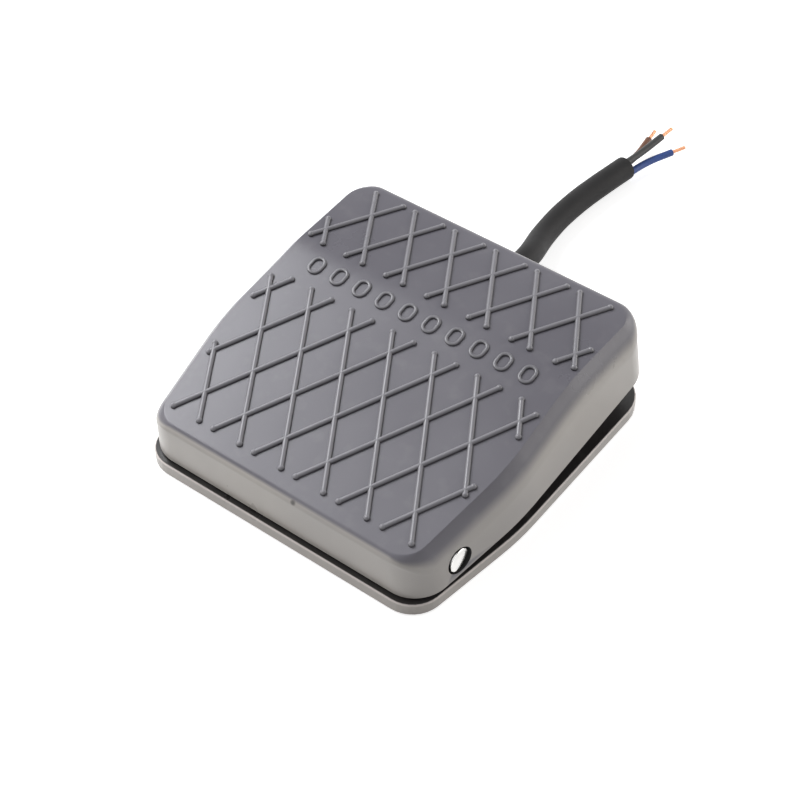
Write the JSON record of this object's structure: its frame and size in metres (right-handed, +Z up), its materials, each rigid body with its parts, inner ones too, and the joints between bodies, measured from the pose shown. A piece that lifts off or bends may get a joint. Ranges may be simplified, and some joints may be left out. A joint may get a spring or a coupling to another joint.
{
  "type": "foot switch",
  "caption": "Low foot switch: a ribbed wedge pedal hinged on a pin over a moulded tray, with return springs, a lever microswitch and a short cord.",
  "frame": {"origin": "middle of the footprint, on the surface that the switch stands on", "axes": "+X across the pedal, +Y from the toe end to the cord end, +Z up"},
  "size_m": [0.1, 0.1989, 0.0334],
  "materials": {
    "base_shell": "warm light grey moulding",
    "foot_rubber": "soft black rubber",
    "pin_steel": "ground steel",
    "nylon": "natural nylon",
    "spring_steel": "dark spring steel",
    "pedal_shell": "purple-grey glossy tread with light grey skirts",
    "screw_steel": "zinc plated",
    "switch_body": "black phenolic",
    "switch_lid": "dark red phenolic",
    "lever_steel": "stainless strip",
    "plunger_red": "red",
    "blade_copper": "beryllium copper",
    "terminal_brass": "tinned brass",
    "clamp_black": "black nylon",
    "gland_rubber": "black rubber",
    "cord_sheath": "black sheath",
    "core_brown": "brown insulation",
    "core_black": "black insulation",
    "core_blue": "blue insulation",
    "copper": "bare copper strands"
  },
  "bodies": {
    "base": {"base_tray": "base_shell", "rubber_feet": "foot_rubber", "hinge_pin": "pin_steel", "pin_washers": "nylon", "pin_clips": "spring_steel", "return_spring_left": "spring_steel", "return_spring_right": "spring_steel", "switch_case": "switch_body", "switch_lid": "switch_lid", "com_terminal": "terminal_brass", "no_terminal": "terminal_brass", "nc_terminal": "terminal_brass", "switch_screws": "screw_steel", "switch_nuts": "screw_steel", "stop_buffers": "foot_rubber", "cord_clamp": "clamp_black", "clamp_screws": "screw_steel", "cable_gland": "gland_rubber", "lead_cord": "cord_sheath", "core_com": "core_brown", "core_no": "core_black", "core_nc": "core_blue", "lead_cores": "core_brown", "core_tips": "copper"},
    "pedal": {"pedal_cover": "pedal_shell", "actuator_screw": "screw_steel", "lock_nut": "screw_steel"},
    "lever": {"switch_lever": "lever_steel"},
    "plunger": {"switch_plunger": "plunger_red"},
    "blade": {"snap_blade": "blade_copper"}
  },
  "joints": [
    {"name": "pedal_hinge", "type": "hinge", "parent": "base", "child": "pedal", "pos_m": [0, -0.035, 0.011], "axis": [-1, 0, 0], "range_deg": [0, 5.7], "stiffness_Nm_per_rad": 5, "springref_deg": -11.46, "deforming": ["return_spring_left", "return_spring_right"]},
    {"name": "lever_hinge", "type": "hinge", "parent": "base", "child": "lever", "pos_m": [0, -0.0095, 0.0196], "axis": [-1, 0, 0], "range_deg": [0, 14.01]},
    {"name": "plunger_slide", "type": "slide", "parent": "base", "child": "plunger", "axis": [0, 0, -1], "range_m": [0, 0.00126]},
    {"name": "blade_hinge", "type": "hinge", "parent": "base", "child": "blade", "pos_m": [0, 0.00675, 0.01575], "axis": [1, 0, 0], "range_deg": [0, 3.01]}
  ],
  "couplings": [
    {"joint": "lever_hinge", "follows": "pedal_hinge", "ratio": 2.456},
    {"joint": "plunger_slide", "follows": "pedal_hinge", "m_per_rad": 0.0126},
    {"joint": "blade_hinge", "follows": "pedal_hinge", "ratio": 0.526}
  ]
}
